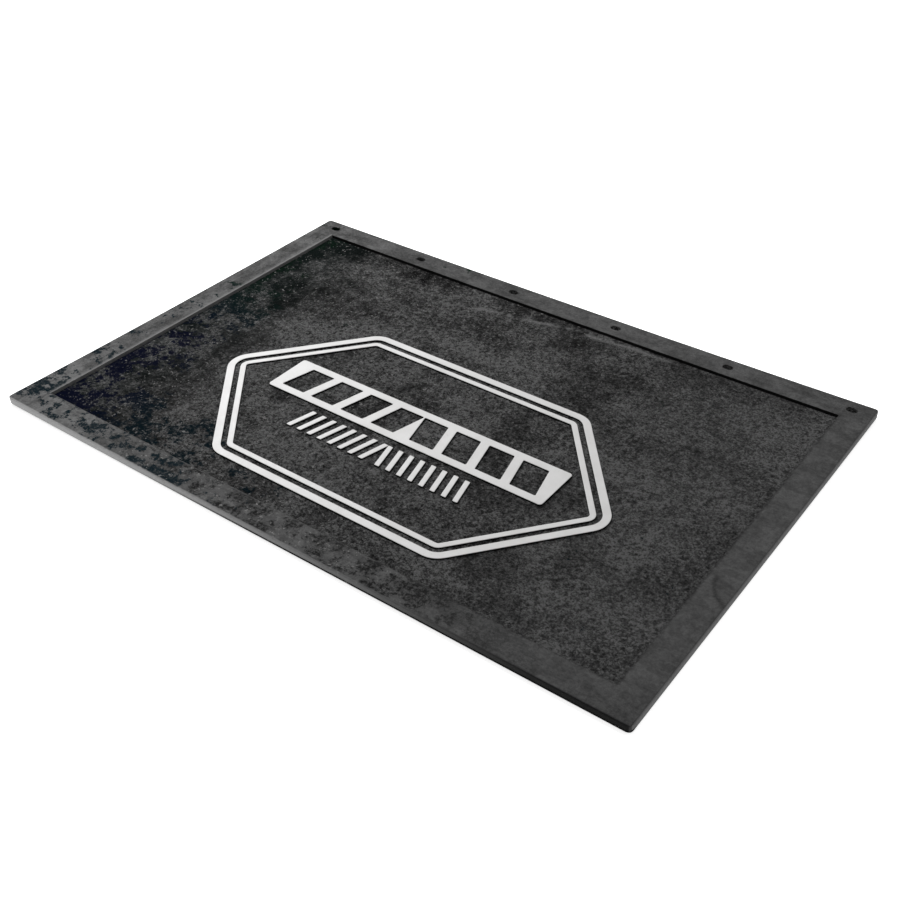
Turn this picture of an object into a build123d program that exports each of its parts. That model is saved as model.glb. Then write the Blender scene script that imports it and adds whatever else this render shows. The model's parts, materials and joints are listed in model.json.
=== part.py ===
from build123d import *
import os

# A moulded rubber mud flap, lying flat with its decorated face up. Lengths are in millimetres.
# The origin is the middle of the underside: X runs along the row of slots, Y towards the slots, Z up.

INCH = 25.4

# Rubber moulding
WIDTH = 24 * INCH
HEIGHT = 16 * INCH
THICKNESS = INCH / 4
RIM_WIDTH = 1 * INCH
RECESS_DEPTH = 2.3
OUTER_CORNER_RADIUS = 4
RECESS_CORNER_RADIUS = 1.5
TOP_EDGE_RADIUS = 0.6

# Fixing slots, in one row through the top edge's rim
SLOT_COUNT = 6
SLOT_PITCH = 4.5 * INCH
SLOT_LENGTH = INCH * 3 / 8
SLOT_WIDTH = INCH / 4
SLOT_ROW_BELOW_EDGE = INCH / 2

# Bend lines, in the plain stretch between the slotted edge and the emblem
BEND_NAMES = ["upper", "middle", "lower"]
WEB_NAMES = ["upper", "lower"]
BEND_PITCH = 30
FLEX_STRIP_WIDTH = 8

# Emblem: raised strokes of the moulding, each faced with a thin white layer
EMBLEM_CENTRE_Y = -48
EMBLEM_HALF_WIDTH = 200
EMBLEM_HALF_HEIGHT = 106
EMBLEM_FLAT_HALF_WIDTH = 112
EMBLEM_CORNER_RADIUS = 20
RELIEF_HEIGHT = 1.1
FACING_THICKNESS = 0.3
OUTER_STROKE = 7
INNER_STROKE = 5.2
STROKE_GAP = 4.5

# Banner across the emblem, pierced by a row of slanted windows
BANNER_CENTRE_Y = -36
BANNER_WIDTH = 283
BANNER_HEIGHT = 46
BANNER_CORNER_RADIUS = 3
WINDOW_COUNT = 8
WINDOW_PITCH = 33
WINDOW_WIDTH = 24
WINDOW_HEIGHT = 31

# Row of small slanted bars under the banner
BAR_COUNT = 16
BAR_PITCH = 11
BAR_WIDTH = 5
BAR_HEIGHT = 26
BAR_GAP_BELOW_BANNER = 8

LEAN = 0.25
BAR_CORNER_RADIUS = 0.8

# Worked out from the sizes above
FIELD_THICKNESS = THICKNESS - RECESS_DEPTH
RELIEF_TOP = FIELD_THICKNESS + RELIEF_HEIGHT
SLOT_ROW_Y = HEIGHT / 2 - SLOT_ROW_BELOW_EDGE
FIRST_BEND_Y = HEIGHT / 2 - RIM_WIDTH - BEND_PITCH / 2
BEND_YS = [FIRST_BEND_Y - i * BEND_PITCH for i in range(len(BEND_NAMES))]
BAR_ROW_Y = BANNER_CENTRE_Y - BANNER_HEIGHT / 2 - BAR_GAP_BELOW_BANNER - BAR_HEIGHT / 2


def row(count, pitch):
    """Positions of evenly spaced items, centred on zero."""
    return [(i - (count - 1) / 2) * pitch for i in range(count)]


def slanted_bar(x, y, width, height):
    """A parallelogram whose top leans towards the emblem's centre line."""
    shift = -LEAN * height / 2 if x > 0 else LEAN * height / 2
    corners = [
        (-width / 2 - shift, -height / 2),
        (width / 2 - shift, -height / 2),
        (width / 2 + shift, height / 2),
        (-width / 2 + shift, height / 2),
    ]
    outline = Polygon(*corners, align=None)
    return Pos(x, y) * fillet(outline.vertices(), BAR_CORNER_RADIUS)


def badge(inset):
    """The emblem's six-sided outline, moved inwards by inset all the way round."""
    corners = [
        (EMBLEM_HALF_WIDTH, 0),
        (EMBLEM_FLAT_HALF_WIDTH, EMBLEM_HALF_HEIGHT),
        (-EMBLEM_FLAT_HALF_WIDTH, EMBLEM_HALF_HEIGHT),
        (-EMBLEM_HALF_WIDTH, 0),
        (-EMBLEM_FLAT_HALF_WIDTH, -EMBLEM_HALF_HEIGHT),
        (EMBLEM_FLAT_HALF_WIDTH, -EMBLEM_HALF_HEIGHT),
    ]
    outline = Polygon(*corners, align=None)
    outline = fillet(outline.vertices(), EMBLEM_CORNER_RADIUS)
    if inset:
        outline = offset(outline, amount=-inset)
    return Pos(0, EMBLEM_CENTRE_Y) * outline


def outer_outline():
    return badge(0) - badge(OUTER_STROKE)


def inner_outline():
    start = OUTER_STROKE + STROKE_GAP
    return badge(start) - badge(start + INNER_STROKE)


def banner():
    """A straight band with a row of slanted windows through it."""
    plate = RectangleRounded(BANNER_WIDTH, BANNER_HEIGHT, BANNER_CORNER_RADIUS)
    shape = Pos(0, BANNER_CENTRE_Y) * plate
    for x in row(WINDOW_COUNT, WINDOW_PITCH):
        shape -= slanted_bar(x, BANNER_CENTRE_Y, WINDOW_WIDTH, WINDOW_HEIGHT)
    return shape


def bars():
    """The small bars under the banner."""
    return [slanted_bar(x, BAR_ROW_Y, BAR_WIDTH, BAR_HEIGHT) for x in row(BAR_COUNT, BAR_PITCH)]


def raised(shape, bottom, height):
    """A flat shape made solid, standing on the level called bottom."""
    return Pos(0, 0, bottom) * extrude(shape, amount=height)


def moulding(emblem_shapes):
    """The whole rubber sheet: rim, recessed field, fixing slots and the emblem's black relief."""
    sheet = extrude(RectangleRounded(WIDTH, HEIGHT, OUTER_CORNER_RADIUS), amount=THICKNESS)
    top_edges = sheet.faces().sort_by(Axis.Z)[-1].edges()
    sheet = fillet(top_edges, TOP_EDGE_RADIUS)
    recess = RectangleRounded(WIDTH - 2 * RIM_WIDTH, HEIGHT - 2 * RIM_WIDTH, RECESS_CORNER_RADIUS)
    sheet -= raised(recess, FIELD_THICKNESS, RECESS_DEPTH)
    for x in row(SLOT_COUNT, SLOT_PITCH):
        slot = Pos(x, SLOT_ROW_Y) * SlotOverall(SLOT_LENGTH, SLOT_WIDTH)
        sheet -= raised(slot, 0, THICKNESS)
    for shape in emblem_shapes:
        sheet += raised(shape, FIELD_THICKNESS, RELIEF_HEIGHT)
    return sheet


def cross_band(sheet, low_y, high_y):
    """The part of the sheet between two lines that run across its full width."""
    middle = (low_y + high_y) / 2
    return sheet & Pos(0, middle, THICKNESS / 2) * Box(2 * WIDTH, high_y - low_y, 2 * THICKNESS)


def sheet_nodes(sheet):
    """The sheet cut at the bend lines: flange, then a flex strip and a firm stretch in turn."""
    half_strip = FLEX_STRIP_WIDTH / 2
    firm_names = ["mounting_flange"] + [name + "_web" for name in WEB_NAMES] + ["hanging_panel"]
    tops = [HEIGHT / 2 + 1] + [y - half_strip for y in BEND_YS]
    bottoms = [y + half_strip for y in BEND_YS] + [-HEIGHT / 2 - 1]
    nodes = {}
    for name, top, bottom in zip(firm_names, tops, bottoms):
        nodes[name] = cross_band(sheet, bottom, top)
    for name, y in zip(BEND_NAMES, BEND_YS):
        nodes[name + "_flex_strip"] = cross_band(sheet, y - half_strip, y + half_strip)
    return nodes


def facing_nodes(shapes):
    """The white layers on top of the emblem's relief."""
    return {
        name: Compound([raised(shape, RELIEF_TOP, FACING_THICKNESS).solid() for shape in parts])
        for name, parts in shapes.items()
    }


emblem = {
    "emblem_outer_outline": [outer_outline()],
    "emblem_inner_outline": [inner_outline()],
    "emblem_banner": [banner()],
    "emblem_bars": bars(),
}
rubber = moulding([shape for parts in emblem.values() for shape in parts])
nodes = {**sheet_nodes(rubber), **facing_nodes(emblem)}

os.makedirs("parts", exist_ok=True)
for name, shape in nodes.items():
    export_step(shape, f"parts/{name}.step")
    print(name, round(shape.volume, 1), "mm3,", len(shape.solids()), "solid(s)")
print("bend lines at y =", [round(y, 2) for y in BEND_YS])
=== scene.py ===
"""The looks of a moulded rubber mud flap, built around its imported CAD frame. Lengths are in metres."""

import json
import math

import bmesh
import bpy
import numpy as np
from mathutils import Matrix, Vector, geometry, noise


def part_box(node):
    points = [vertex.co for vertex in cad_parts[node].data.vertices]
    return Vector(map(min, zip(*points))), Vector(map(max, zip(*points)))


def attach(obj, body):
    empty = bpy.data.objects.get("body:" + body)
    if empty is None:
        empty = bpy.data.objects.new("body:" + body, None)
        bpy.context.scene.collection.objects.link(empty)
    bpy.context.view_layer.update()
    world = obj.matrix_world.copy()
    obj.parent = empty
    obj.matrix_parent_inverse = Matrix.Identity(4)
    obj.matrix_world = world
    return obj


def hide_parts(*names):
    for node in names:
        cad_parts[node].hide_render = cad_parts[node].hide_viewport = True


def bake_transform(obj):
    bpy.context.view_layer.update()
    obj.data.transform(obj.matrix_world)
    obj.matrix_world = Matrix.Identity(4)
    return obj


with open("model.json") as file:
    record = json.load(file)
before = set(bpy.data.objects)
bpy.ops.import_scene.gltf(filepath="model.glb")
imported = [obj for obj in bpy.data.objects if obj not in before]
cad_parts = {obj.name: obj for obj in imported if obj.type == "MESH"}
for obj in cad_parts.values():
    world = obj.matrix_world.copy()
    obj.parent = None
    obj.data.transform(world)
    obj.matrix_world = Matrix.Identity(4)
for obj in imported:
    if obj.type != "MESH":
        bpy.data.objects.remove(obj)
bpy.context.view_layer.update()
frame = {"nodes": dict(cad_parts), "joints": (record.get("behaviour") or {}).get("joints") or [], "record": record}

MM = 0.001

# Sizes read from the frame
PANEL_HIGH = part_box("hanging_panel")[1]
FLANGE_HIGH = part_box("mounting_flange")[1]
FACING_LOW, FACING_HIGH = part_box("emblem_banner")
HALF_WIDTH = PANEL_HIGH.x
HALF_HEIGHT = FLANGE_HIGH.y
THICKNESS = FLANGE_HIGH.z
RELIEF_TOP = FACING_LOW.z
FACING_TOP = FACING_HIGH.z
BENDS = sorted((joint["pos_m"][1] for joint in frame["joints"]), reverse=True)
BEND_PITCH = BENDS[0] - BENDS[1]
EMBLEM_NODES = ["emblem_outer_outline", "emblem_inner_outline", "emblem_banner", "emblem_bars"]
SLOT_MOUNTS = [m for m in frame["record"]["mounts"] if m["kind"] == "bolt_pattern"]

# Shape of the moulding
RELIEF_HEIGHT = 1.1 * MM
FIELD_TOP = RELIEF_TOP - RELIEF_HEIGHT
RIM_WIDTH = HALF_HEIGHT - BENDS[0] - BEND_PITCH / 2
CORNER_RADIUS = 4 * MM
TOP_EDGE_RADIUS = 1.0 * MM
BOTTOM_EDGE_RADIUS = 0.4 * MM
STEP_START = -0.15 * MM
STEP_RUN = 0.75 * MM
RIPPLE_HEIGHT = 0.15 * MM
SLOT_FLARE = 0.35 * MM

# How far each corner curls up off the ground, by the signs of its x and y
CORNER_LIFTS = {(-1, 1): 0.5 * MM, (1, 1): 2.2 * MM, (1, -1): 0.0, (-1, -1): 1.6 * MM}

# The faint wavy crease below the top rim: the top of its arch, and where it fades out
CREASE_TOP = (0.11, 0.172)
CREASE_ARCH = 0.75
CREASE_ENDS = (-0.12, 0.15)
CREASE_FADE = 0.05
CREASE_WIDTH = 2.5 * MM

# The faint curved flow line on the right rim: an arc about a point outside the sheet
FLOW_LINE_TOP = -0.050
FLOW_LINE_CENTRE = (HALF_WIDTH + 0.010, FLOW_LINE_TOP)
FLOW_LINE_RADIUS = 0.029
FLOW_LINE_WIDTH = 1.3 * MM
FLOW_LINE_FADE = 4 * MM

# The sides of the raised emblem and of its white layer, upwards: (distance inside the outline, height)
RELIEF_PROFILE = [
    (-0.30 * MM, FIELD_TOP - 0.8 * MM),
    (-0.15 * MM, FIELD_TOP + 0.1 * MM),
    (0.0, RELIEF_TOP - 0.2 * MM),
    (0.08 * MM, RELIEF_TOP - 0.05 * MM),
    (0.25 * MM, RELIEF_TOP),
    (0.55 * MM, RELIEF_TOP),
]
FACING_PROFILE = [
    (0.18 * MM, RELIEF_TOP - 0.05 * MM),
    (0.18 * MM, FACING_TOP - 0.14 * MM),
    (0.25 * MM, FACING_TOP - 0.04 * MM),
    (0.42 * MM, FACING_TOP),
    (0.75 * MM, FACING_TOP),
]

# Mesh fineness
GRID_STEP = 1.6 * MM
UNDERSIDE_SKIP = 4
OUTLINE_STEP = 2.0 * MM
CAP_STEP = 3.5 * MM
CAP_MARGIN = 1.2 * MM
SHORTEST_EDGE = 0.02 * MM
SLOT_SIDES = 32

# Floor, light and camera. A softbox has a name, a place, a size and a power in watts
FLOOR_REACH = 30
WORLD_LIGHT = 0.34
SOFTBOXES = [("key", (-1.35, 0.65, 1.2), 0.5, 42), ("fill", (0.3, 0.6, 2.4), 1.8, 8)]
CAMERA_PLACE = (0.5146, -0.6347, 0.5823)
CAMERA_AZIMUTH = math.radians(35.3)
CAMERA_ELEVATION = math.radians(37.40)
CAMERA_LENS = 47.55
CAMERA_SENSOR = 36
CAMERA_SHIFT = -0.0592


def put(name, data):
    """A new object in the scene."""
    made = bpy.data.objects.new(name, data)
    bpy.context.scene.collection.objects.link(made)
    return made


# ---------------------------------------------------------------- surface relief

def smooth(t):
    """0 below 0, 1 above 1, and a smooth step between."""
    t = min(max(t, 0.0), 1.0)
    return t * t * (3 - 2 * t)


def wave(x, y):
    """How far the sheet stands off the ground: some corners curl up a little, and it isn't quite flat."""
    lift = CORNER_LIFTS[1 if x > 0 else -1, 1 if y > 0 else -1]
    curl = lift * (x / HALF_WIDTH * y / HALF_HEIGHT) ** 2
    ripple = RIPPLE_HEIGHT * (1 + noise.noise(Vector((x * 7, y * 7, 3.1))))
    return curl + ripple


def inside_recess(x, y):
    """Distance from a point to the recess's edge, above 0 inside the recess."""
    return min(HALF_WIDTH - RIM_WIDTH - abs(x), HALF_HEIGHT - RIM_WIDTH - abs(y))


def inside_edge(x, y):
    """Distance from a point to the sheet's edge."""
    return min(HALF_WIDTH - abs(x), HALF_HEIGHT - abs(y))


def edge_drop(distance, radius):
    """How far a rounded edge falls below its flat, at a distance from the side."""
    if distance >= radius:
        return 0.0
    return radius - math.sqrt(radius ** 2 - (radius - max(distance, 0.0)) ** 2)


def crease(x, y):
    """From 0 to 1: how close a point lies to the faint wavy crease below the top rim."""
    middle = CREASE_TOP[1] - CREASE_ARCH * (CREASE_TOP[0] - x) ** 2
    middle += 3.0 * MM * noise.noise(Vector((x * 25, 0.0, 0.0)))
    middle += 1.2 * MM * noise.noise(Vector((x * 90, 4.0, 0.0)))
    ends = smooth((x - CREASE_ENDS[0]) / CREASE_FADE) * smooth((CREASE_ENDS[1] - x) / CREASE_FADE)
    return ends * math.exp(-((y - middle) / CREASE_WIDTH) ** 2)


def flow_line(x, y):
    """From 0 to 1: how close a point lies to the faint curved flow line on the right rim."""
    from_line = math.dist((x, y), FLOW_LINE_CENTRE) - FLOW_LINE_RADIUS
    below = smooth((FLOW_LINE_TOP - y) / FLOW_LINE_FADE)
    return below * math.exp(-(from_line / FLOW_LINE_WIDTH) ** 2) * (x > HALF_WIDTH - RIM_WIDTH)


def field_texture(x, y):
    """Lumps, ridges and pits of the crumb rubber in the recess."""
    p = Vector((x, y, 0.0))
    lumps = noise.fractal(p * 150, 0.8, 2.0, 3)
    broad = noise.noise(p * 50 + Vector((4.0, 7.0, 0.0)))
    ridges = 0.2 - abs(noise.noise(p * 180 + Vector((1.0, 2.0, 8.0))))
    rough = 0.50 + 0.7 * noise.noise(p * 22 + Vector((2.0, 5.0, 0.0))) + 0.35 * smooth(x / HALF_WIDTH)
    pit = noise.voronoi(p * 130)[0][0]
    pits = (1 - smooth(pit / 0.34)) * smooth(0.3 + 2 * noise.noise(p * 30))
    return ((0.40 * lumps + 1.3 * ridges) * rough + 0.1 * broad - 0.5 * pits + 0.25 * crease(x, y)) * MM


def rim_texture(x, y):
    """The fine unevenness of the rims."""
    p = Vector((x, y, 5.0))
    return (0.05 * noise.noise(p * 160) + 0.07 * noise.noise(p * 35)) * MM


def top_height(x, y):
    """Height of the decorated side: rims, recess walls and field."""
    depth = inside_recess(x, y)
    step = smooth((depth - STEP_START) / STEP_RUN)
    roughness = smooth((depth - 1.5 * MM) / (4 * MM))
    level = THICKNESS + (FIELD_TOP - THICKNESS) * step
    level += rim_texture(x, y) * (1 - roughness) + field_texture(x, y) * roughness
    return level - edge_drop(inside_edge(x, y), TOP_EDGE_RADIUS) + wave(x, y)


def under_height(x, y):
    """Height of the underside."""
    grain = 0.04 * MM * (1 + noise.noise(Vector((x * 120, y * 120, 9.0))))
    return grain + edge_drop(inside_edge(x, y), BOTTOM_EDGE_RADIUS) + wave(x, y)


# ---------------------------------------------------------------- what each point stores for the materials

def by_left_rim(x, y):
    """True where the left side of the recess is the nearest."""
    return x < 0 and HALF_WIDTH + x < HALF_HEIGHT - abs(y)


def by_top_rim(x, y):
    """True where the top side of the recess is the nearest."""
    return y > 0 and HALF_HEIGHT - y < HALF_WIDTH - abs(x)


def on_top(z):
    """True on the decorated side."""
    return z > THICKNESS / 2


def field_share(x, y, z):
    """1 in the recess and 0 on the rims. It changes slowly over worn edges, most of all at the right."""
    depth = inside_recess(x, y) / MM
    if by_left_rim(x, y) or by_top_rim(x, y):
        share = smooth(depth / 0.6)
    else:
        worn_width = 2.5 + 3.5 * smooth((x / HALF_WIDTH - 0.2) / 0.5)
        share = smooth(depth / worn_width + 0.5)
    return share * on_top(z)


def grime(x, y, z):
    """1 down the top wall of the recess and along its foot: painted shade that darkens them."""
    if not by_top_rim(x, y):
        return 0.0
    depth = inside_recess(x, y) / MM
    return smooth((depth + 0.12) / 0.15) * smooth((1.5 - depth) / 0.8) * on_top(z)


def pale_edge(x, y, z):
    """Up to 1 along the left and bottom edges of the recess, a painted highlight where they catch light, and down
    the left wall to its foot, painted light over the wall's shade.
    """
    depth = inside_recess(x, y) / MM
    if by_left_rim(x, y):
        lit_edge = smooth((depth + 4.0) / 4.0) * smooth((0.05 - depth) / 0.10)
        foot = 0.8 * smooth((depth - 0.05) / 0.10) * smooth((1.4 - depth) / 0.6)
        return (lit_edge + foot) * on_top(z)
    if y < 0:
        fade = 0.6 * smooth((0.7 * HALF_WIDTH - x) / HALF_WIDTH)
        return fade * smooth((depth + 1.2) / 0.8) * smooth((0.6 - depth) / 0.4) * on_top(z)
    return 0.0


def store(mesh, name, value_at):
    """Stores a number for each point of the mesh, for the material to read."""
    attribute = mesh.attributes.new(name, "FLOAT", "POINT")
    attribute.data.foreach_set("value", [value_at(*v.co) for v in mesh.vertices])


def finish_mesh(piece, angle=35):
    """Smooth shading with crisp edges where the surface turns sharply."""
    piece.data.shade_smooth()
    piece.data.set_sharp_from_angle(angle=math.radians(angle))
    return piece


def dress(piece, material):
    """Gives a piece its material, and stores each point's place at rest, so that patterns follow a bend."""
    mesh = piece.data
    place = mesh.attributes.new("rest_place", "FLOAT_VECTOR", "POINT")
    place.data.foreach_set("vector", [c for v in mesh.vertices for c in v.co])
    mesh.materials.clear()
    mesh.materials.append(material)


# ---------------------------------------------------------------- sheet mesh

def fill(lines, step):
    """Adds evenly spaced lines wherever two neighbours are more than a step apart."""
    lines = sorted(set(round(v, 7) for v in lines))
    out = []
    for a, b in zip(lines, lines[1:]):
        count = max(1, round((b - a) / step))
        out += [a + (b - a) * i / count for i in range(count)]
    return out + [lines[-1]]


def edge_lines(half):
    """Lines that the rounded edge and the wall of the recess need, on both sides."""
    # Millimetres inside the sheet's edge, and inside the recess's edge
    edge = [0, 0.08, 0.25, 0.5, 1.0, 1.7]
    wall = [-1.2, -0.5, -0.15, 0, 0.15, 0.3, 0.45, 0.6, 0.9, 1.6]
    lines = [half - d * MM for d in edge] + [half - RIM_WIDTH - d * MM for d in wall]
    return lines + [-v for v in lines]


X_LINES = fill(edge_lines(HALF_WIDTH), GRID_STEP)


def round_corner(x, y):
    """Moves a point of the square-cornered grid so that the sheet's corners are round."""
    u = (abs(x) - HALF_WIDTH + CORNER_RADIUS) / CORNER_RADIUS
    v = (abs(y) - HALF_HEIGHT + CORNER_RADIUS) / CORNER_RADIUS
    if u <= 0 or v <= 0:
        return x, y
    new_u = u * math.sqrt(1 - v * v / 2)
    new_v = v * math.sqrt(1 - u * u / 2)
    new_x = HALF_WIDTH - CORNER_RADIUS * (1 - new_u)
    new_y = HALF_HEIGHT - CORNER_RADIUS * (1 - new_v)
    return math.copysign(new_x, x), math.copysign(new_y, y)


def coarse(lines):
    """Indices of the lines that the underside uses: the ends and every few between them."""
    last = len(lines) - 1
    by_corner = {
        number for number, line in enumerate(lines)
        if min(line - lines[0], lines[last] - line) < 1.5 * CORNER_RADIUS
    }
    return sorted(by_corner | set(range(0, last, UNDERSIDE_SKIP)))


def sheet_piece(name, y_low, y_high):
    """One closed stretch of the sheet between two lines across its width."""
    y_lines = [v for v in edge_lines(HALF_HEIGHT) if y_low < v < y_high]
    y_lines = fill(y_lines + [y_low, y_high], GRID_STEP)
    x_count, y_count = len(X_LINES), len(y_lines)
    points = []
    for y in y_lines:
        for x in X_LINES:
            px, py = round_corner(x, y)
            points.append((px, py, top_height(x, y)))
    x_few, y_few = coarse(X_LINES), coarse(y_lines)
    under = {}
    for j in y_few:
        for i in x_few:
            x, y = X_LINES[i], y_lines[j]
            px, py = round_corner(x, y)
            under[i, j] = len(points)
            points.append((px, py, under_height(x, y)))

    def top(i, j):
        return j * x_count + i

    faces = []
    for j in range(y_count - 1):
        for i in range(x_count - 1):
            faces.append((top(i, j), top(i + 1, j), top(i + 1, j + 1), top(i, j + 1)))
    for j, j2 in zip(y_few, y_few[1:]):
        for i, i2 in zip(x_few, x_few[1:]):
            faces.append((under[i, j], under[i, j2], under[i2, j2], under[i2, j]))
    for j, outward in ((0, 1), (y_count - 1, -1)):
        for i, i2 in zip(x_few, x_few[1:]):
            side = [under[i, j], under[i2, j]] + [top(k, j) for k in range(i2, i - 1, -1)]
            faces.append(side[::outward])
    for i, outward in ((0, -1), (x_count - 1, 1)):
        for j, j2 in zip(y_few, y_few[1:]):
            side = [under[i, j], under[i, j2]] + [top(i, k) for k in range(j2, j - 1, -1)]
            faces.append(side[::outward])
    mesh = bpy.data.meshes.new(name)
    mesh.from_pydata(points, [], faces)
    mesh.validate()
    store(mesh, "field", field_share)
    store(mesh, "by_recess", lambda x, y, z: smooth(1 + inside_recess(x, y) / (0.6 * RIM_WIDTH)))
    store(mesh, "lumps", lambda x, y, z: field_texture(x, y) / MM)
    store(mesh, "wall", lambda x, y, z: smooth((1.5 * MM - inside_edge(x, y)) / (1.2 * MM)))
    store(mesh, "flow_line", lambda x, y, z: flow_line(x, y))
    store(mesh, "grime", grime)
    store(mesh, "pale_edge", pale_edge)
    store(mesh, "crease", lambda x, y, z: crease(x, y))
    return put(name, mesh)


def slot_cutter(x, y, radius, length):
    """A slot-shaped plug with a flared mouth, to cut one fixing slot."""
    reach = length / 2 - radius
    top = THICKNESS + wave(x, y)
    levels = [
        (-2 * MM, 0.0),
        (top - THICKNESS + 0.3 * MM, 0.0),
        (top - SLOT_FLARE, 0.0),
        (top + 0.1 * MM, SLOT_FLARE),
        (top + 2 * MM, SLOT_FLARE),
    ]
    mesh = bpy.data.meshes.new("slot_cutter")
    form = bmesh.new()
    rings = []
    for z, flare in levels:
        spread = radius + flare
        ring = []
        for turn in range(SLOT_SIDES):
            angle = (turn + 0.5) / SLOT_SIDES * math.tau
            centre = x + math.copysign(reach, math.cos(angle))
            place = (centre + spread * math.cos(angle), y + spread * math.sin(angle), z)
            ring.append(form.verts.new(place))
        rings.append(ring)
    for lower, upper in zip(rings, rings[1:]):
        for k in range(SLOT_SIDES):
            after = (k + 1) % SLOT_SIDES
            form.faces.new((lower[k], lower[after], upper[after], upper[k]))
    form.faces.new(rings[0][::-1])
    form.faces.new(rings[-1])
    form.to_mesh(mesh)
    form.free()
    return mesh


def cut_slots(piece):
    """Cuts every fixing slot that the record's mounts state."""
    cutters = bmesh.new()
    for mount in SLOT_MOUNTS:
        size = mount["dims"]
        for side in (-1, 1):
            x = mount["pos_m"][0] + side * size["spacing_x_mm"] * MM / 2
            y = mount["pos_m"][1]
            cutters.from_mesh(slot_cutter(x, y, size["hole_r_mm"] * MM, size["slot_length_mm"] * MM))
    mesh = bpy.data.meshes.new("slot_cutters")
    cutters.to_mesh(mesh)
    cutters.free()
    # The slot walls take the same painted shade, which darkens them to black.
    store(mesh, "grime", lambda x, y, z: 1.0)
    cutter = put("slot_cutters", mesh)
    cut = piece.modifiers.new("slots", "BOOLEAN")
    cut.operation = "DIFFERENCE"
    cut.solver = "EXACT"
    cut.object = cutter
    evaluated = piece.evaluated_get(bpy.context.evaluated_depsgraph_get())
    result = bpy.data.meshes.new_from_object(evaluated)
    piece.modifiers.clear()
    piece.data = result
    bpy.data.objects.remove(cutter)


# ---------------------------------------------------------------- emblem meshes

def outlines(node):
    """Closed outlines of a CAD node's flat top, each with its material on the left."""
    mesh = frame["nodes"][node].data
    top = max(v.co.z for v in mesh.vertices)
    key = {v.index: (round(v.co.x, 6), round(v.co.y, 6)) for v in mesh.vertices}
    follow = {}
    for face in mesh.polygons:
        if face.normal.z < 0.9 or abs(face.center.z - top) > 0.01 * MM:
            continue
        ring = [key[v] for v in face.vertices]
        for a, b in zip(ring, ring[1:] + ring[:1]):
            follow[a, b] = True
    edges = {a: b for a, b in follow if (b, a) not in follow}
    loops = []
    while edges:
        start, after = edges.popitem()
        loop = [start]
        while after != start:
            loop.append(after)
            after = edges.pop(after)
        loops.append(loop)
    return [resample(loop) for loop in loops]


def resample(loop):
    """The same outline with its long straight edges divided."""
    out = []
    for a, b in zip(loop, loop[1:] + loop[:1]):
        length = math.dist(a, b)
        if length < SHORTEST_EDGE:
            continue
        count = max(1, round(length / OUTLINE_STEP))
        out += [tuple(np.add(a, np.subtract(b, a) * k / count)) for k in range(count)]
    return np.array(out)


def inset(loop, distance):
    """The outline moved by a distance towards its material."""
    before = loop - np.roll(loop, 1, axis=0)
    after = np.roll(loop, -1, axis=0) - loop
    before /= np.linalg.norm(before, axis=1)[:, None]
    after /= np.linalg.norm(after, axis=1)[:, None]
    normal = np.stack([-(before + after)[:, 1], (before + after)[:, 0]], axis=1)
    normal /= np.linalg.norm(normal, axis=1)[:, None]
    cosine = np.clip((normal * np.stack([-after[:, 1], after[:, 0]], axis=1)).sum(1), 0.5, 1)
    return loop + normal * (distance / cosine)[:, None]


def to_outline(points, loops):
    """(whether each point is inside, its distance to the nearest outline)."""
    inside = np.zeros(len(points), bool)
    nearest = np.full(len(points), np.inf)
    for loop in loops:
        for a, b in zip(loop, np.roll(loop, -1, axis=0)):
            above = (a[1] > points[:, 1]) != (b[1] > points[:, 1])
            slope = (b[0] - a[0]) / (b[1] - a[1]) if b[1] != a[1] else 0.0
            inside ^= above & (points[:, 0] < a[0] + slope * (points[:, 1] - a[1]))
            along = np.clip(((points - a) @ (b - a)) / ((b - a) @ (b - a)), 0, 1)
            nearest = np.minimum(nearest, np.linalg.norm(points - a - along[:, None] * (b - a), axis=1))
    return inside, nearest


def cap(loops):
    """(points, triangles) that fill the outlines; the outlines' own points come first, in order."""
    ring_points = np.concatenate(loops)
    low, high = ring_points.min(0), ring_points.max(0)
    xs = np.arange(low[0], high[0], CAP_STEP)
    ys = np.arange(low[1], high[1], CAP_STEP)
    grid = np.stack(np.meshgrid(xs, ys), axis=-1).reshape(-1, 2)
    inside, nearest = to_outline(grid, loops)
    points = np.concatenate([ring_points, grid[inside & (nearest > CAP_MARGIN)]])
    edges = []
    first = 0
    for loop in loops:
        count = len(loop)
        edges += [(first + k, first + (k + 1) % count) for k in range(count)]
        first += count
    unit = [Vector(p) / MM for p in points]
    made = geometry.delaunay_2d_cdt(unit, edges, [], 0, 1e-5)
    number = [source[0] for source in made[3]]
    triangles = [[number[v] for v in triangle] for triangle in made[2]]
    return points, enclosed(triangles, {frozenset(edge) for edge in edges})


def enclosed(triangles, outline_edges):
    """The triangles inside the outlines: stepping over an outline's edge goes in or out."""
    owners = {}
    for number, triangle in enumerate(triangles):
        for a, b in zip(triangle, triangle[1:] + triangle[:1]):
            owners.setdefault(frozenset((a, b)), []).append(number)
    inside = {}
    queue = [(both[0], edge in outline_edges) for edge, both in owners.items() if len(both) == 1]
    while queue:
        number, is_inside = queue.pop()
        if number in inside:
            continue
        inside[number] = is_inside
        triangle = triangles[number]
        for a, b in zip(triangle, triangle[1:] + triangle[:1]):
            edge = frozenset((a, b))
            queue += [(other, is_inside != (edge in outline_edges)) for other in owners[edge]]
    return [triangle for number, triangle in enumerate(triangles) if inside[number]]


def plateau(name, nodes, profile):
    """A closed raised shape on the sheet over each outline. The profile is a list of (inset, height)."""
    points, faces = [], []
    for node in nodes:
        for group in separate(outlines(node)):
            add_plateau(points, faces, group, profile)
    mesh = bpy.data.meshes.new(name)
    mesh.from_pydata(points, [], faces)
    mesh.validate()
    form = bmesh.new()
    form.from_mesh(mesh)
    bmesh.ops.recalc_face_normals(form, faces=form.faces)
    form.to_mesh(mesh)
    form.free()
    return finish_mesh(put(name, mesh), 50)


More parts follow.
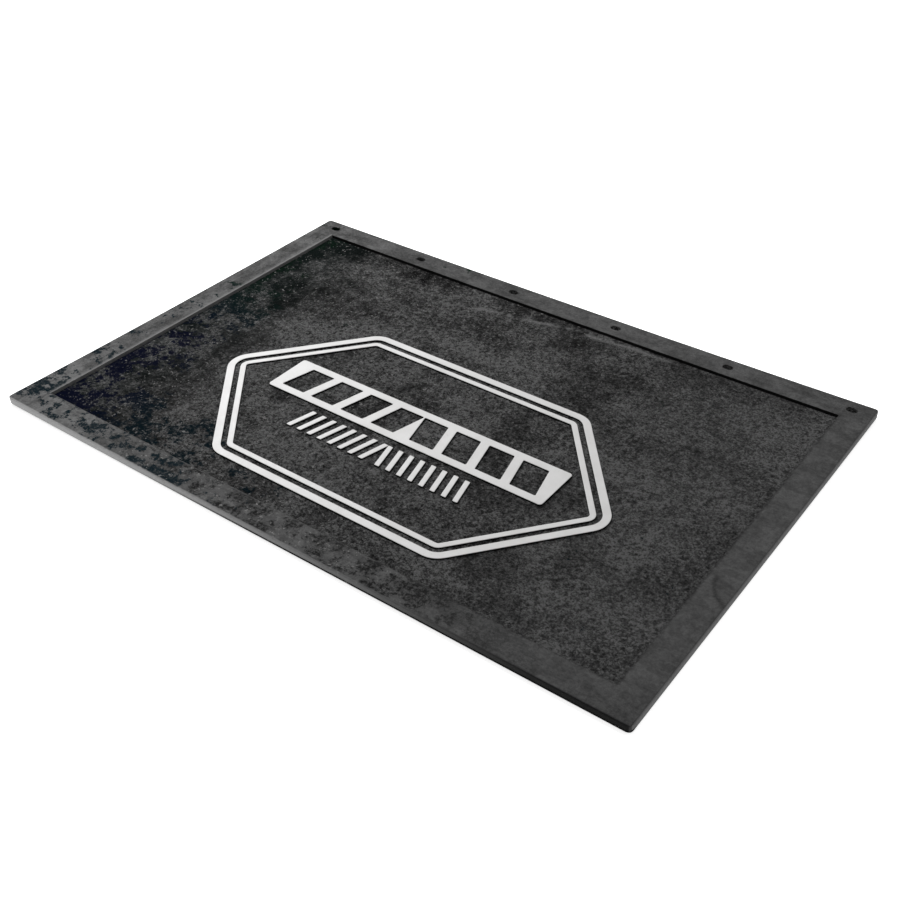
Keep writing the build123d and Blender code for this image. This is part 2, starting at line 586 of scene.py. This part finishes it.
def area(loop):
    """The area inside an outline, below 0 if the outline runs clockwise."""
    x, y = loop[:, 0], loop[:, 1]
    return (x * np.roll(y, -1) - y * np.roll(x, -1)).sum() / 2


def separate(loops):
    """Each outer outline with the holes inside it."""
    outers = [loop for loop in loops if area(loop) > 0]
    holes = [loop for loop in loops if area(loop) < 0]
    return [
        [outer] + [hole for hole in holes if to_outline(hole[:1], [outer])[0][0]]
        for outer in outers
    ]


def add_plateau(points, faces, loops, profile):
    """Adds one plateau's walls, top and bottom to the lists."""
    level_starts = []
    for distance, z in profile:
        level_starts.append(len(points))
        for loop in loops:
            points += [(x, y, z + wave(x, y)) for x, y in inset(loop, distance)]
    for lower, upper in zip(level_starts, level_starts[1:]):
        first = 0
        for loop in loops:
            count = len(loop)
            for k in range(count):
                a, b = first + k, first + (k + 1) % count
                faces.append((lower + a, lower + b, upper + b, upper + a))
            first += count
    bottom = (*profile[0], level_starts[0], -1)
    top = (*profile[-1], level_starts[-1], 1)
    for distance, z, start, turn in (bottom, top):
        flat, triangles = cap([inset(loop, distance) for loop in loops])
        ring_count = sum(len(loop) for loop in loops)
        extra = len(points)
        points += [(x, y, z + wave(x, y)) for x, y in flat[ring_count:]]
        for triangle in triangles:
            ids = [start + v if v < ring_count else extra + v - ring_count for v in triangle]
            faces.append(ids[::turn])


# ---------------------------------------------------------------- materials

class Paint:
    """Builds one material's node tree with short calls."""

    def __init__(self, name, **constants):
        self.material = bpy.data.materials.new(name)
        self.material.use_nodes = True
        self.tree = self.material.node_tree
        self.shader = self.tree.nodes["Principled BSDF"]
        self.place = self.add("ShaderNodeAttribute", attribute_name="rest_place").outputs["Vector"]
        for socket, value in constants.items():
            self.shader.inputs[socket.replace("_", " ")].default_value = value

    def add(self, kind, **settings):
        node = self.tree.nodes.new(kind)
        for key, value in settings.items():
            setattr(node, key, value)
        return node

    def feed(self, socket, value):
        """Links another node's output to the socket, or sets its value."""
        if isinstance(value, bpy.types.NodeSocket):
            self.tree.links.new(value, socket)
        else:
            socket.default_value = value

    def attribute(self, name):
        return self.add("ShaderNodeAttribute", attribute_name=name).outputs["Fac"]

    def axes(self):
        split = self.add("ShaderNodeSeparateXYZ")
        self.feed(split.inputs[0], self.place)
        return split.outputs

    def moved(self, offset, scale=(1, 1, 1)):
        """The place at rest, scaled along each axis and then moved."""
        shift = self.add("ShaderNodeVectorMath", operation="MULTIPLY_ADD")
        self.feed(shift.inputs[0], self.place)
        shift.inputs[1].default_value = scale
        shift.inputs[2].default_value = offset
        return shift.outputs[0]

    def noise(self, size, detail=4, rough=0.6, offset=(0, 0, 0), scale=(1, 1, 1)):
        """Cloudy noise with lumps of about the size given, from 0 to 1."""
        texture = self.add("ShaderNodeTexNoise")
        self.feed(texture.inputs["Vector"], self.moved(offset, scale))
        texture.inputs["Scale"].default_value = 1 / size
        texture.inputs["Detail"].default_value = detail
        texture.inputs["Roughness"].default_value = rough
        return texture.outputs["Fac"]

    def cells(self, size, offset=(0, 0, 0)):
        """(distance to the nearest cell's centre in cell sizes, a random number for each cell)."""
        texture = self.add("ShaderNodeTexVoronoi")
        self.feed(texture.inputs["Vector"], self.moved(offset))
        texture.inputs["Scale"].default_value = 1 / size
        return texture.outputs["Distance"], texture.outputs["Color"]

    def ramp(self, value, low, high, start=0.0, end=1.0):
        """A smooth change from start to end while the value goes from low to high."""
        node = self.add("ShaderNodeMapRange", interpolation_type="SMOOTHSTEP")
        for name, number in zip(("Value", "From Min", "From Max", "To Min", "To Max"),
                                (value, low, high, start, end)):
            self.feed(node.inputs[name], number)
        return node.outputs["Result"]

    def math(self, operation, a, b=0.0):
        node = self.add("ShaderNodeMath", operation=operation)
        self.feed(node.inputs[0], a)
        self.feed(node.inputs[1], b)
        return node.outputs[0]

    def product(self, *values):
        total = values[0]
        for value in values[1:]:
            total = self.math("MULTIPLY", total, value)
        return total

    def total(self, *values):
        total = values[0]
        for value in values[1:]:
            total = self.math("ADD", total, value)
        return total

    def between(self, value, start, full, ebb, end):
        """1 from full to ebb, and 0 before the start and after the end."""
        return self.product(self.ramp(value, start, full), self.ramp(value, end, ebb))

    def inverse(self, value):
        return self.math("SUBTRACT", 1.0, value)

    def around_zero(self, value):
        """A noise's value, moved so that its mean is 0."""
        return self.math("SUBTRACT", value, 0.5)

    def mix(self, factor, a, b):
        """Colour a where the factor is 0 and b where it is 1."""
        node = self.add("ShaderNodeMix", data_type="RGBA")
        self.feed(node.inputs["Factor"], factor)
        self.feed(node.inputs[6], a)
        self.feed(node.inputs[7], b)
        return node.outputs[2]

    def bump(self, *layers):
        """Bump from (height, distance) layers, one on top of the next."""
        normal = None
        for height, distance in layers:
            node = self.add("ShaderNodeBump")
            node.inputs["Distance"].default_value = distance
            self.feed(node.inputs["Height"], height)
            if normal is not None:
                self.feed(node.inputs["Normal"], normal)
            normal = node.outputs["Normal"]
        self.feed(self.shader.inputs["Normal"], normal)

    def finish(self, color, roughness):
        self.feed(self.shader.inputs["Base Color"], color)
        self.feed(self.shader.inputs["Roughness"], roughness)
        return self.material


def grey(level, warmth=0.0):
    return (level * (1 + warmth), level, level * (1 - warmth), 1)


# Colours of the rubber
DARK_RUBBER = grey(0.001)
DARK_RUBBER_AT_LEFT = (0.001, 0.004, 0.0036, 1)
PALE_RUBBER = grey(0.120)
SCUFFED = grey(0.16)
# Colour of the painted highlight on the recess's edges and the painted light on its left wall
EDGE_HIGHLIGHT = grey(0.17)
RIM_DARK = grey(0.014)
RIM_PALE = grey(0.130)
STREAK = grey(0.020)
WORN_BLACK = grey(0.003)
FLOW_LINE_BLACK = grey(0.006)
FRONT_WALL_RIGHT = grey(0.010)
# Painted light at the left end of the front side
FRONT_WALL_PAINTED_LIGHT = grey(0.34)
# Painted light on the right side
RIGHT_WALL_PAINTED_LIGHT = grey(0.13)
OTHER_WALLS = grey(0.05)
# Painted bounce light from the floor on the base of each side
WALL_BASE_BOUNCE_LIGHT = grey(0.10)
GREEN_STAIN = (0.0006, 0.0075, 0.0035, 1)
TEAL_STAIN = (0.0003, 0.0060, 0.0095, 1)
NAVY_STAIN = (0.0001, 0.0012, 0.0100, 1)
SPECK = grey(0.14, 0.01)
CRUMB = grey(0.22, 0.01)

# Colours of the white paint and of the floor
DULL_WHITE = grey(0.51, 0.01)
CLEAN_WHITE = grey(0.57, 0.005)
DIRTY_WHITE = grey(0.25, 0.05)
FLOOR_WHITE = grey(0.92)
FLOOR_GLOW = 0.68

# How dark the painted shade on the sides of the emblem's relief is
RELIEF_PAINTED_SHADE = 0.9

# Size of the lumps in each noise of the rubber, then of the paint
CLOUD_SIZE = 60 * MM
PATCH_SIZE = 36 * MM
SOFT_BLOTCH_SIZE = 20 * MM
BLOTCH_SIZE = 13 * MM
STREAK_SIZE = 10 * MM
FLAKE_SIZE = 8 * MM
PIT_SPACING = 5.5 * MM
DUST_SIZE = 4.8 * MM
GRAIN_SIZE = 2.8 * MM
CRUMB_SIZE = 2.6 * MM
FINE_GRAIN_SIZE = 1.7 * MM
SKIN_SIZE = 0.9 * MM
PAINT_CLOUD_SIZE = 30 * MM
PAINT_DIRT_SIZE = 4 * MM
PAINT_GRAIN_SIZE = 1.6 * MM

# Bounds of the parts of the finish, in metres from the middle. Two numbers say where a change starts and
# where it is complete. Four say where a part starts, is full, ebbs and ends. A pair is (along x, along y).
FAR_LEFT = (-0.17, -0.285)
TO_THE_RIGHT = (0.0, 0.22)
RIGHT_HALF = (0.05, 0.28)
SOFTER_GRAIN = (0.08, 0.22)
DUSTIER_LEFT = (0.18, -0.05)
LEFT_BLOOM_AND_SHEEN = (-0.10, -0.29)
LEFT_RIM_END = (-0.280, -0.278)
MIDDLE = (-0.05, 0.05)
LOW_PART = (-0.05, -0.17)
BELOW_TOP_RIM = (0.11, 0.16)
DARKER_BOTTOM_RIM = (-0.17, -0.19)
STAINED_DOWNWARDS = (0.14, 0.0)
GREEN_TO_TEAL = (0.10, -0.04)
TOP_LEFT = ((-0.02, -0.10), (0.07, 0.11))
ABOVE_BOTTOM_RIM = ((0.24, 0.16), (-0.155, -0.172))
PALE_CLOUD = ((-0.18, -0.08, -0.04, 0.06), (0.02, 0.06, 0.09, 0.13))
PALE_HAZE = ((-0.22, -0.14, -0.05, 0.00), (0.125, 0.145, 0.155, 0.170))
TOP_BLOOM_AND_SHEEN = ((0.10, -0.25), (0.12, 0.19))
PALE_CORNER = ((-0.16, -0.27), (-0.08, -0.18))
PALE_BOTTOM_RIM = ((0.20, 0.05), (-0.17, -0.18))
WORN_STRETCH = ((-0.24, -0.10, 0.10, 0.24), (-0.17, -0.182))
DUSTY_STRETCH = ((-0.24, -0.12, 0.08, 0.20), (-0.17, -0.182))
STAINED_CORNER = ((0.05, -0.15), (-0.08, -0.17))
NAVY_PART = ((-0.18, -0.25), (0.03, -0.05))

# The same for the sheet's sides, with heights above the ground
# The painted light on the front side fades between these
FRONT_WALL_LIGHT_FADE = (0.27, -0.22)
FRONT_WALL = ((-0.3044, -0.3025), (-0.196, -0.201))
RIGHT_WALL_TURN = (HALF_WIDTH - 1.0 * MM, HALF_WIDTH - 0.3 * MM)
# Heights of the painted bounce light along the base of each side
WALL_BASE_HEIGHTS = (1.3 * MM, 0.3 * MM)
# The painted contact shadow along the foot of the front side
FOOT_SHADOW = ((-0.18, 0.02), (-0.195, -0.200))
FOOT_SHADOW_HEIGHTS = (2.7 * MM, 2.0 * MM)


class Rubber(Paint):
    """Crumb rubber: a mottled, pitted field, smoother rims with a pale bloom that is partly painted sheen, and
    dark oily stains.

    The two numbers after a noise in a ramp are the noise's values between which the change runs.
    """

    def __init__(self):
        super().__init__("moulded_rubber", IOR=1.40, Specular_IOR_Level=0.05)
        self.x, self.y, self.z = self.axes()
        self.field = self.attribute("field")
        self.wall = self.attribute("wall")

        # Noises that several parts of the finish share
        self.blotches = self.noise(BLOTCH_SIZE, 5, 0.75)
        self.grain = self.noise(GRAIN_SIZE, 4, 0.85, offset=(0.3, 0.1, 0))
        self.fine = self.noise(FINE_GRAIN_SIZE, 2, 0.7, offset=(0.7, 0.3, 0))
        self.leftness = self.ramp(self.x, *FAR_LEFT)

    def part(self, along_x, along_y):
        """1 in a part of the sheet that has these bounds along each axis, and 0 away from it."""
        masks = []
        for axis, bounds in ((self.x, along_x), (self.y, along_y)):
            mask = self.between if len(bounds) == 4 else self.ramp
            masks.append(mask(axis, *bounds))
        return self.product(*masks)

    def field_color(self):
        """Clouds, darker towards the left, with a strong fine grain, and painted shade in the hollows and painted
        light on the high points.
        """
        x, y = self.x, self.y
        clouds = self.noise(CLOUD_SIZE, 3, 0.5, offset=(1.5, 0.2, 0))
        mottle = self.total(
            self.product(self.ramp(self.blotches, 0.36, 0.66), self.ramp(x, *TO_THE_RIGHT, 0.26, 0.15)),
            self.product(self.ramp(clouds, 0.38, 0.64), self.ramp(x, *TO_THE_RIGHT, 0.40, 0.28)),
            self.ramp(x, *RIGHT_HALF, 0.17, 0.40),
            self.product(self.leftness, self.ramp(y, *MIDDLE, -0.26, -0.38)),
            self.product(self.ramp(y, *BELOW_TOP_RIM), -0.09),
            self.product(self.part(*TOP_LEFT), -0.09),
            self.product(self.part(*ABOVE_BOTTOM_RIM), -0.06),
            self.product(self.part(*PALE_CLOUD), 0.12),
            self.product(self.part(*PALE_HAZE), self.ramp(self.blotches, 0.40, 0.60), 0.22),
        )
        weakest = self.ramp(x, *SOFTER_GRAIN, 0.12, 0.50)
        strongest = self.ramp(x, *SOFTER_GRAIN, 1.90, 1.50)
        # The grain and lumps factors darken the hollows and lighten the high points of the relief: painted shade
        # and light, on top of the rubber's own grain.
        mottle = self.product(
            mottle,
            self.ramp(self.grain, 0.35, 0.65, weakest, strongest),
            self.ramp(self.fine, 0.33, 0.67, 0.45, 1.55),
            self.ramp(self.attribute("lumps"), -0.35, 0.05, 0.60, 1.08),
        )
        dark = self.mix(self.leftness, DARK_RUBBER, DARK_RUBBER_AT_LEFT)
        color = self.mix(mottle, dark, PALE_RUBBER)
        scuff = self.product(self.attribute("crease"), self.ramp(self.blotches, 0.4, 0.6), 0.8)
        return self.mix(scuff, color, SCUFFED)

    def rim_color(self):
        """The rims, with a pale bloom and painted sheen that fade to the right, and dull streaks on the left and
        bottom ones.
        """
        x, y = self.x, self.y
        soft_blotches = self.noise(SOFT_BLOTCH_SIZE, 6, 0.70, offset=(0, 0.7, 0))
        # The lighter left and top rims: partly the rubber's pale bloom, partly painted sheen.
        top_bloom_and_sheen = self.product(self.ramp(y, *TOP_BLOOM_AND_SHEEN[1], 0, 0.6), self.ramp(x, *TOP_BLOOM_AND_SHEEN[0], 0.6, 1))
        bloom_and_sheen = self.math("MAXIMUM", self.ramp(x, *LEFT_BLOOM_AND_SHEEN), top_bloom_and_sheen)
        mottle = self.total(
            self.product(self.ramp(soft_blotches, 0.36, 0.64), self.ramp(bloom_and_sheen, 0, 1, 0.18, 0.42)),
            self.product(self.ramp(self.grain, 0.35, 0.65), self.ramp(bloom_and_sheen, 0, 1, 0.20, 0.34)),
            self.product(self.ramp(self.fine, 0.35, 0.65), 0.06),
            self.ramp(bloom_and_sheen, 0, 1, 0.20, 0.08),
            self.product(self.part(*PALE_CORNER), 0.22),
            self.product(self.part(*PALE_BOTTOM_RIM), 0.10),
            self.ramp(y, *DARKER_BOTTOM_RIM, 0, -0.07),
        )
        color = self.mix(mottle, RIM_DARK, RIM_PALE)
        upright = self.noise(STREAK_SIZE, 5, 0.75, offset=(0.4, 0.3, 0), scale=(1.0, 0.3, 1.0))
        level = self.noise(STREAK_SIZE, 5, 0.75, offset=(0.6, 0.1, 0), scale=(0.3, 1.0, 1.0))
        streaks = self.mix(self.ramp(x, *LEFT_RIM_END), upright, level)
        streaky = self.product(self.ramp(streaks, 0.47, 0.62), self.ramp(bloom_and_sheen, 0, 1, 0.35, 0.52))
        color = self.mix(streaky, color, STREAK)
        worn = self.product(
            self.part(*WORN_STRETCH),
            self.ramp(self.blotches, 0.56, 0.44),
            self.ramp(self.grain, 0.58, 0.46, 0.30, 1),
        )
        color = self.mix(worn, color, WORN_BLACK)
        return self.mix(self.product(self.attribute("flow_line"), 0.55), color, FLOW_LINE_BLACK)

    def wall_color(self):
        """The sheet's sides. The front one has painted light at the left and a painted contact shadow along its
        foot at the right; the right one is painted lighter as if lit, and painted bounce light from the floor
        lightens the lower band of each side.
        """
        # Painted light: the front side is lighter towards the left.
        color = self.mix(self.ramp(self.x, *FRONT_WALL_LIGHT_FADE), FRONT_WALL_RIGHT, FRONT_WALL_PAINTED_LIGHT)
        color = self.mix(self.part(*FRONT_WALL), OTHER_WALLS, color)
        # Painted light: the right side is lighter than the back and left ones.
        color = self.mix(self.ramp(self.x, *RIGHT_WALL_TURN), color, RIGHT_WALL_PAINTED_LIGHT)
        # Painted bounce light from the floor on the lowest band of each side.
        color = self.mix(self.ramp(self.z, *WALL_BASE_HEIGHTS, 0, 0.5), color, WALL_BASE_BOUNCE_LIGHT)
        # Painted contact shadow along the foot of the front side.
        foot = self.product(self.ramp(self.z, *FOOT_SHADOW_HEIGHTS), self.part(*FOOT_SHADOW))
        return self.mix(foot, color, DARK_RUBBER)

    def stain(self):
        """Where the stains lie: most of them near the left edge and the bottom left corner."""
        left = self.product(self.leftness, self.ramp(self.y, *STAINED_DOWNWARDS, 0.75, 1.2))
        likely = self.math("MAXIMUM", left, self.part(*STAINED_CORNER))
        by_recess = self.attribute("by_recess")
        downwards = self.ramp(self.y, *LOW_PART, 0.60, 1)
        on_rim = self.product(self.ramp(by_recess, 0, 1, 0.80, 0.62), downwards)
        likely = self.product(likely, self.ramp(self.field, 0, 1, on_rim, 1))
        patches = self.noise(PATCH_SIZE, 3, 0.6, offset=(0.9, 0.4, 0))
        flakes = self.noise(FLAKE_SIZE, 5, 0.75, offset=(0.2, 0.9, 0))
        spread = self.total(
            self.product(self.around_zero(patches), 0.9),
            self.around_zero(flakes),
            self.ramp(likely, 0, 1, -0.26, 0.03),
        )
        return self.product(self.ramp(spread, -0.01, 0.05), self.inverse(self.wall))

    def stained(self, stain, color):
        """The colour with stains on it: green above, teal below, and navy near the left of the field."""
        blueness = self.product(self.part(*NAVY_PART), self.field)
        stain_color = self.mix(self.ramp(self.y, *GREEN_TO_TEAL), GREEN_STAIN, TEAL_STAIN)
        stain_color = self.mix(blueness, stain_color, NAVY_STAIN)
        cover = self.ramp(self.grain, 0.66, 0.48, self.ramp(blueness, 0, 1, 0.55, 0.80), 1.0)
        return self.mix(self.product(stain, cover), color, stain_color)

    def dusty(self, color):
        """The colour with grey dust on it, in specks and small patches."""
        dust = self.noise(DUST_SIZE, 4, 0.75, offset=(0.1, 0.8, 0))
        crumbs = self.noise(CRUMB_SIZE, 2, 0.6, offset=(0.4, 0.8, 0))
        bottom_rim = self.product(self.part(*DUSTY_STRETCH), 0.85)
        dustiness = self.math("MAXIMUM", self.ramp(self.field, 0, 1, 0.10, 1), bottom_rim)
        speck = self.product(
            self.ramp(dust, 0.54, 0.66),
            self.ramp(self.blotches, 0.44, 0.58),
            dustiness,
            self.ramp(self.x, *DUSTIER_LEFT, 0.12, 0.60),
        )
        color = self.mix(speck, color, SPECK)
        crumb = self.product(
            self.ramp(crumbs, 0.62, 0.68),
            self.ramp(dust, 0.44, 0.54),
            dustiness,
            self.ramp(self.x, *DUSTIER_LEFT, 0.25, 0.80),
        )
        return self.mix(crumb, color, CRUMB)

    def add_bumps(self):
        """Grain and pits that are finer than the mesh."""
        distance, pick = self.cells(PIT_SPACING, offset=(0.2, 0.6, 0))
        pits = self.product(self.ramp(distance, 0.28, 0.05, 0, -1), self.ramp(pick, 0.3, 0.5), self.field)
        self.bump(
            (self.product(self.grain, self.ramp(self.field, 0, 1, 0.10, 1)), 3.2 * MM),
            (pits, 1.0 * MM),
            (self.noise(SKIN_SIZE, 2, 0.5), 0.10 * MM),
        )


def rubber_material():
    paint = Rubber()
    color = paint.mix(paint.wall, paint.rim_color(), paint.wall_color())
    color = paint.mix(paint.field, color, paint.field_color())
    stain = paint.stain()
    color = paint.dusty(paint.stained(stain, color))
    # Painted highlight on the recess's left and bottom edges, and painted light on the left wall of the recess.
    color = paint.mix(paint.product(paint.attribute("pale_edge"), 0.8), color, EDGE_HIGHLIGHT)
    # Painted shade: darkens the top wall of the recess, the slot walls and the sides of the emblem's relief.
    color = paint.mix(paint.product(paint.attribute("grime"), 0.95), color, DARK_RUBBER)
    roughness = paint.total(
        paint.ramp(paint.field, 0, 1, 0.64, 0.84),
        paint.ramp(paint.blotches, 0.3, 0.7, 0.06, -0.06),
        paint.product(stain, 0.18),
    )
    paint.add_bumps()
    return paint.finish(color, roughness)


def white_material():
    """Matt white paint with a little dirt, thin enough to show the rubber's grain."""
    paint = Paint("white_paint", IOR=1.45)
    clouds = paint.noise(PAINT_CLOUD_SIZE, 5, 0.6)
    grain = paint.noise(PAINT_GRAIN_SIZE, 4, 0.6)
    color = paint.mix(paint.ramp(clouds, 0.3, 0.7), DULL_WHITE, CLEAN_WHITE)
    dirt = paint.ramp(paint.noise(PAINT_DIRT_SIZE, 6, 0.7, offset=(0.5, 0.5, 0)), 0.60, 0.72)
    color = paint.mix(paint.product(dirt, 0.25), color, DIRTY_WHITE)
    paint.bump((grain, 0.05 * MM))
    return paint.finish(color, paint.ramp(grain, 0.3, 0.7, 0.5, 0.62))


def floor_material():
    """A lit white table."""
    paint = Paint("floor_white", Emission_Color=grey(1), Emission_Strength=FLOOR_GLOW)
    return paint.finish(FLOOR_WHITE, 0.95)


# ---------------------------------------------------------------- build

seams = [HALF_HEIGHT, BENDS[0] - BEND_PITCH / 2, BENDS[1] - BEND_PITCH / 2, -HALF_HEIGHT]
flange_sheet = sheet_piece("flange_sheet", seams[1], seams[0])
web_sheet = sheet_piece("web_sheet", seams[2], seams[1])
panel_sheet = sheet_piece("panel_sheet", seams[3], seams[2])
cut_slots(flange_sheet)

rubber = rubber_material()
white_paint = white_material()

for piece in (flange_sheet, web_sheet, panel_sheet):
    dress(piece, rubber)
    finish_mesh(piece)

relief = plateau("emblem_relief", EMBLEM_NODES, RELIEF_PROFILE)
# Painted shade on the sides of the emblem's relief.
store(relief.data, "grime", lambda x, y, z: RELIEF_PAINTED_SHADE)
dress(relief, rubber)
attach(relief, "panel")
for node in EMBLEM_NODES:
    facing = plateau(node + "_paint", [node], FACING_PROFILE)
    dress(facing, white_paint)
    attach(facing, "panel")
    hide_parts(node)

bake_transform(flange_sheet)
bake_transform(web_sheet)
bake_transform(panel_sheet)
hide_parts("mounting_flange", "upper_flex_strip")
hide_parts("upper_web", "middle_flex_strip")
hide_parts("lower_web", "lower_flex_strip", "hanging_panel")

# ---------------------------------------------------------------- stage, light and camera

floor_mesh = bpy.data.meshes.new("floor")
floor_corners = [(a * FLOOR_REACH, b * FLOOR_REACH, 0) for a, b in ((-1, -1), (1, -1), (1, 1), (-1, 1))]
floor_mesh.from_pydata(floor_corners, [], [(0, 1, 2, 3)])
floor = put("floor", floor_mesh)
dress(floor, floor_material())

# The floor stays below the panel when the panel swings down
bottom_edge = put("bottom_edge", None)
bottom_edge.location = (0, -HALF_HEIGHT, 0)
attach(bottom_edge, "panel")
follow = floor.constraints.new("COPY_LOCATION")
follow.target = bottom_edge
follow.use_x = False
follow.use_y = False
highest = floor.constraints.new("LIMIT_LOCATION")
highest.use_max_z = True
highest.max_z = 0

world = bpy.data.worlds.new("studio")
world.use_nodes = True
background = world.node_tree.nodes["Background"]
background.inputs["Color"].default_value = (1, 1, 1, 1)
background.inputs["Strength"].default_value = WORLD_LIGHT
bpy.context.scene.world = world


def softbox(name, place, size, power):
    """A square area light that faces the middle of the flap."""
    light = bpy.data.lights.new(name, "AREA")
    light.size = size
    light.energy = power
    lamp = put(name, light)
    lamp.location = place
    lamp.rotation_euler = (-Vector(place)).to_track_quat("-Z", "Y").to_euler()


for name, place, size, power in SOFTBOXES:
    softbox(name, place, size, power)

camera_data = bpy.data.cameras.new("camera")
camera_data.lens = CAMERA_LENS
camera_data.sensor_width = CAMERA_SENSOR
camera_data.shift_x = CAMERA_SHIFT
camera_data.clip_start = 0.01
camera = put("camera", camera_data)
back = Vector((
    math.sin(CAMERA_AZIMUTH) * math.cos(CAMERA_ELEVATION),
    -math.cos(CAMERA_AZIMUTH) * math.cos(CAMERA_ELEVATION),
    math.sin(CAMERA_ELEVATION),
))
camera.location = CAMERA_PLACE
camera.rotation_euler = back.to_track_quat("Z", "Y").to_euler()
bpy.context.scene.camera = camera
bpy.context.scene.view_settings.view_transform = "Standard"
